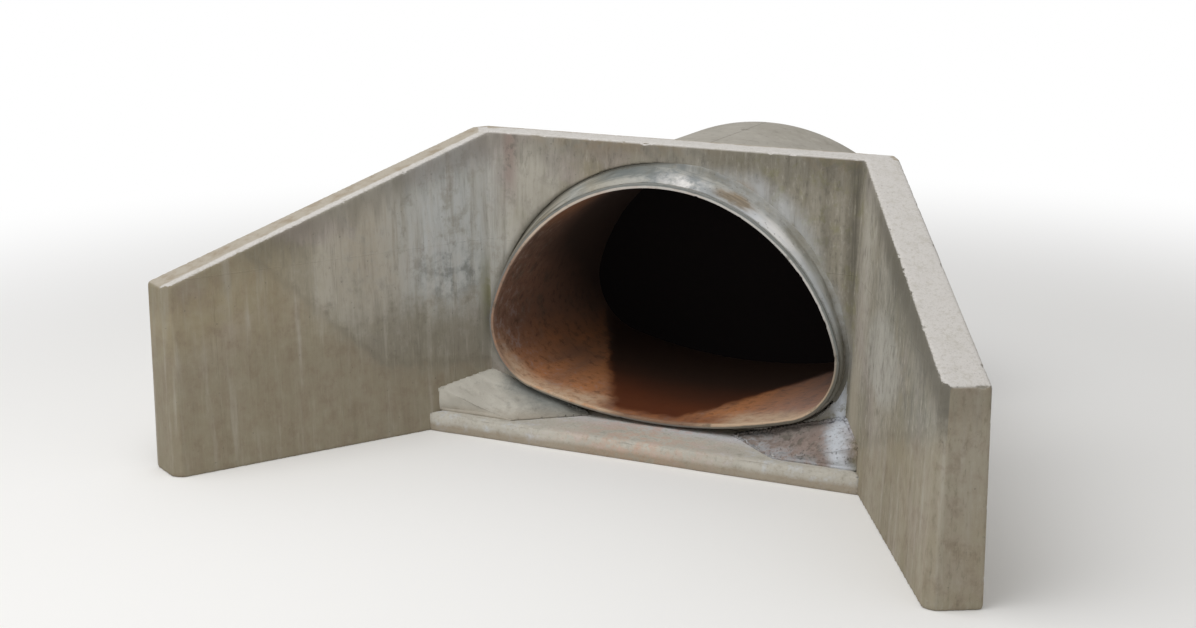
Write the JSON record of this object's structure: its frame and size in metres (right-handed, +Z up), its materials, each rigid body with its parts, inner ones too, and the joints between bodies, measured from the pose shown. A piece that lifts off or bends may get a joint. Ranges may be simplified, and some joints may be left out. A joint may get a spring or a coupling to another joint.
{
  "type": "culvert headwall",
  "caption": "Cast concrete headwall with flared, sloping wingwalls round the mouth of a concrete arch pipe, for a stream under a road.",
  "frame": {"origin": "on the pipe's centre line, at the base, in the plane of the headwall's front face at its top edge", "axes": "+Z up, +X along the headwall, +Y along the pipe into the bank; the stream side is -Y"},
  "size_m": [7.7442, 5.4361, 2.85],
  "materials": {
    "wall_concrete": "weathered, streaked",
    "pipe_concrete": "smooth cast, rust stained",
    "mortar": "trowelled, rough"
  },
  "bodies": {
    "root": {"back_lift_hole_plug": "mortar", "front_lift_hole_plug": "mortar", "headwall": "wall_concrete", "left_haunch_mortar": "mortar", "left_wingwall": "wall_concrete", "mortar_collar": "mortar", "pipe_end_section": "pipe_concrete", "right_haunch_mortar": "mortar", "right_wingwall": "wall_concrete", "toe_slab": "wall_concrete"}
  },
  "joints": []
}
